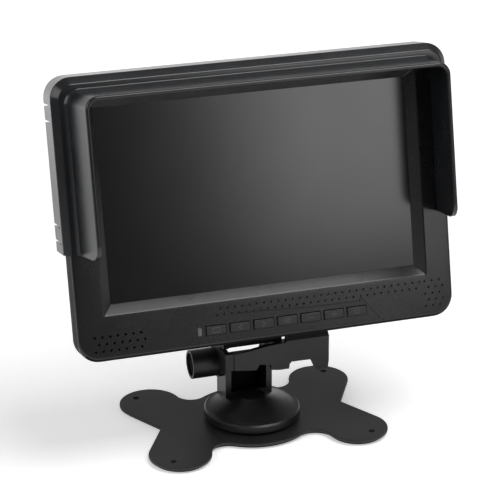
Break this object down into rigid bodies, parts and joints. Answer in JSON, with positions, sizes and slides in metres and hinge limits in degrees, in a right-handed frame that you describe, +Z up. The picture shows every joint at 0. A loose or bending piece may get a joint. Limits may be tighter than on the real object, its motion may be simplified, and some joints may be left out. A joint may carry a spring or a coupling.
{
  "type": "camera field monitor with sun hood",
  "caption": "Flat field monitor with a U-shaped sun hood and front push buttons, on a low swivelling and tilting stand with a lobed base plate.",
  "frame": {"origin": "on the swivel axis, in the plane that the stand rests on", "axes": "+X to the viewer's right, -Y towards the viewer, +Z up"},
  "size_m": [0.194, 0.0913, 0.1891],
  "materials": {
    "base_steel": "satin black paint on stamped sheet",
    "foam": "closed-cell foam",
    "stand_plastic": "moulded black plastic, satin",
    "lever_plastic": "moulded black plastic, satin",
    "plated_steel": "zinc plated",
    "black_steel": "blackened screws",
    "brass": "turned brass",
    "housing_plastic": "fine spark-eroded texture",
    "rear_plastic": "fine spark-eroded texture",
    "hood_plastic": "fine spark-eroded texture, satin edges",
    "button_plastic": "satin",
    "screen": "anti-glare polariser",
    "module_metal": "pressed metal frame",
    "board": "solder resist",
    "socket_plastic": "moulded black plastic",
    "socket_metal": "tinned shell",
    "led_plastic": "clear moulded window"
  },
  "bodies": {
    "base": {"base_plate": "base_steel", "base_pad": "foam"},
    "pedestal": {"pedestal": "stand_plastic", "swivel_screw": "plated_steel", "swivel_washer": "plated_steel"},
    "fork": {"tilt_fork": "stand_plastic", "cross_bolt": "plated_steel"},
    "lever": {"clamp_lever": "lever_plastic", "lever_insert": "brass"},
    "monitor": {"front_bezel": "housing_plastic", "rear_cover": "rear_plastic", "screen_glass": "screen", "display_module": "module_metal", "main_board": "board", "button_board": "board", "speaker": "socket_plastic", "led_window": "led_plastic", "dc_jack": "socket_plastic", "hdmi_socket": "socket_metal", "av_sockets": "socket_plastic", "housing_screws": "black_steel"},
    "hood": {"sun_hood": "hood_plastic"},
    "button_1": {"button_1": "button_plastic"},
    "button_2": {"button_2": "button_plastic"},
    "button_3": {"button_3": "button_plastic"},
    "button_4": {"button_4": "button_plastic"},
    "button_5": {"button_5": "button_plastic"},
    "button_6": {"button_6": "button_plastic"},
    "button_7": {"button_7": "button_plastic"}
  },
  "joints": [
    {"name": "swivel", "type": "hinge", "parent": "base", "child": "pedestal", "pos_m": [0, 0, 0.0055], "axis": [0, 0, 1], "continuous": true},
    {"name": "tilt", "type": "hinge", "parent": "pedestal", "child": "fork", "pos_m": [0, 0.0125, 0.0292], "axis": [1, 0, 0], "range_deg": [-25, 15]},
    {"name": "clamp_turn", "type": "hinge", "parent": "fork", "child": "lever", "pos_m": [0.0194, 0.0125, 0.0292], "axis": [1, 0, 0], "range_deg": [0, 30]},
    {"name": "monitor_lift", "type": "slide", "parent": "fork", "child": "monitor", "axis": [0, 0.225, 0.9744], "range_m": [0, 0.036]},
    {"name": "hood_pull", "type": "slide", "parent": "monitor", "child": "hood", "axis": [0, -0.9744, 0.225], "range_m": [0, 0.04]},
    {"name": "button_1_press", "type": "slide", "parent": "monitor", "child": "button_1", "axis": [0, 0.9744, -0.225], "range_m": [0, 0.0006], "stiffness_N_per_m": 600, "springref_m": -0.0004},
    {"name": "button_2_press", "type": "slide", "parent": "monitor", "child": "button_2", "axis": [0, 0.9744, -0.225], "range_m": [0, 0.0006], "stiffness_N_per_m": 600, "springref_m": -0.0004},
    {"name": "button_3_press", "type": "slide", "parent": "monitor", "child": "button_3", "axis": [0, 0.9744, -0.225], "range_m": [0, 0.0006], "stiffness_N_per_m": 600, "springref_m": -0.0004},
    {"name": "button_4_press", "type": "slide", "parent": "monitor", "child": "button_4", "axis": [0, 0.9744, -0.225], "range_m": [0, 0.0006], "stiffness_N_per_m": 600, "springref_m": -0.0004},
    {"name": "button_5_press", "type": "slide", "parent": "monitor", "child": "button_5", "axis": [0, 0.9744, -0.225], "range_m": [0, 0.0006], "stiffness_N_per_m": 600, "springref_m": -0.0004},
    {"name": "button_6_press", "type": "slide", "parent": "monitor", "child": "button_6", "axis": [0, 0.9744, -0.225], "range_m": [0, 0.0006], "stiffness_N_per_m": 600, "springref_m": -0.0004},
    {"name": "button_7_press", "type": "slide", "parent": "monitor", "child": "button_7", "axis": [0, 0.9744, -0.225], "range_m": [0, 0.0006], "stiffness_N_per_m": 600, "springref_m": -0.0004}
  ]
}
